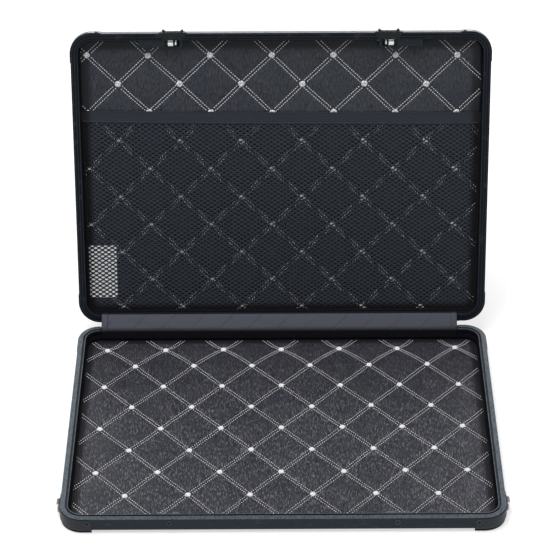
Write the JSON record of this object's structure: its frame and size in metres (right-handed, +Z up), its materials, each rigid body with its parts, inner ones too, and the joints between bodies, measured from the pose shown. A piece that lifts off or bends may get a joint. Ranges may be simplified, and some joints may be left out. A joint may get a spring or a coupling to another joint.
{
  "type": "laptop hard case",
  "caption": "Slim hard case for a laptop: two framed half shells on a piano hinge, with quilted linings, a mesh pocket in the lid, sprung sliding latches and strap rings.",
  "frame": {"origin": "on the table under the middle of the open case's box: midway between the base's front and the open lid's back, and midway between its sides", "axes": "+X towards the case's right side as the user faces it, +Y from the front with the latches towards the hinge, +Z up from the table"},
  "size_m": [0.3872, 0.3582, 0.2924],
  "materials": {
    "frame": "satin, dark blue-grey enamel on aluminium",
    "protector": "satin enamel on pressed steel",
    "panel": "fine grained",
    "board": "matte fibre board",
    "quilting": "soft imitation leather, quilted with pale thread",
    "lining": "black felt",
    "net": "open knitted mesh",
    "band": "woven elastic",
    "card": "bare white card",
    "latch_black": "satin black",
    "latch_steel": "bright plated steel",
    "rivet": "satin dark enamel",
    "spring": "drawn wire",
    "ring": "bright plated steel",
    "striker": "satin dark plate with worn edges",
    "hinge": "satin dark enamel",
    "pin": "drawn",
    "cover": "smooth imitation leather strip"
  },
  "bodies": {
    "base": {"base_frame": "frame", "base_panel": "panel", "base_board": "board", "base_liner": "quilting", "base_wall_lining": "lining", "base_corner_front_left": "protector", "base_corner_front_right": "protector", "base_corner_back_left": "protector", "base_corner_back_right": "protector", "base_corner_rivets": "rivet", "striker_left": "striker", "striker_right": "striker", "striker_rivets": "rivet", "strap_lug_left": "latch_black", "strap_lug_right": "latch_black", "lug_rivets": "rivet", "hinge_leaf_base": "hinge", "hinge_pin": "pin", "hinge_rivets_base": "rivet", "hinge_cover": "cover"},
    "lid": {"lid_frame": "frame", "lid_panel": "panel", "lid_board": "board", "lid_liner": "quilting", "lid_wall_lining": "lining", "lid_corner_front_left": "protector", "lid_corner_front_right": "protector", "lid_corner_back_left": "protector", "lid_corner_back_right": "protector", "lid_corner_rivets": "rivet", "mesh_pocket": "net", "pocket_band": "band", "pocket_card": "card", "latch_plate_left": "latch_black", "latch_plate_right": "latch_black", "latch_plate_rivets": "rivet", "latch_housing_left": "latch_black", "latch_housing_right": "latch_black", "housing_screws": "rivet", "hinge_leaf_lid": "hinge", "hinge_rivets_lid": "rivet", "return_spring_left": "spring", "return_spring_right": "spring"},
    "latch_left": {"thumb_piece_left": "latch_black", "hook_slide_left": "latch_steel"},
    "latch_right": {"thumb_piece_right": "latch_black", "hook_slide_right": "latch_steel"},
    "ring_left": {"strap_ring_left": "ring"},
    "ring_right": {"strap_ring_right": "ring"}
  },
  "joints": [
    {"name": "lid_hinge", "type": "hinge", "parent": "base", "child": "lid", "pos_m": [0, 0.10485, 0.01525], "axis": [1, 0, 0], "range_deg": [0, 103.2], "deforming": ["hinge_cover"]},
    {"name": "latch_left_slide", "type": "slide", "parent": "lid", "child": "latch_left", "axis": [-1, 0, 0], "range_m": [0, 0.0027], "stiffness_N_per_m": 350, "springref_m": -0.004, "deforming": ["return_spring_left"]},
    {"name": "latch_right_slide", "type": "slide", "parent": "lid", "child": "latch_right", "axis": [1, 0, 0], "range_m": [0, 0.0027], "stiffness_N_per_m": 350, "springref_m": -0.004, "deforming": ["return_spring_right"]},
    {"name": "ring_left_swing", "type": "hinge", "parent": "base", "child": "ring_left", "pos_m": [-0.1923, -0.15013, 0.0116], "axis": [0, 1, 0], "range_deg": [0, 150]},
    {"name": "ring_right_swing", "type": "hinge", "parent": "base", "child": "ring_right", "pos_m": [0.1923, -0.15013, 0.0116], "axis": [0, -1, 0], "range_deg": [0, 150]}
  ]
}
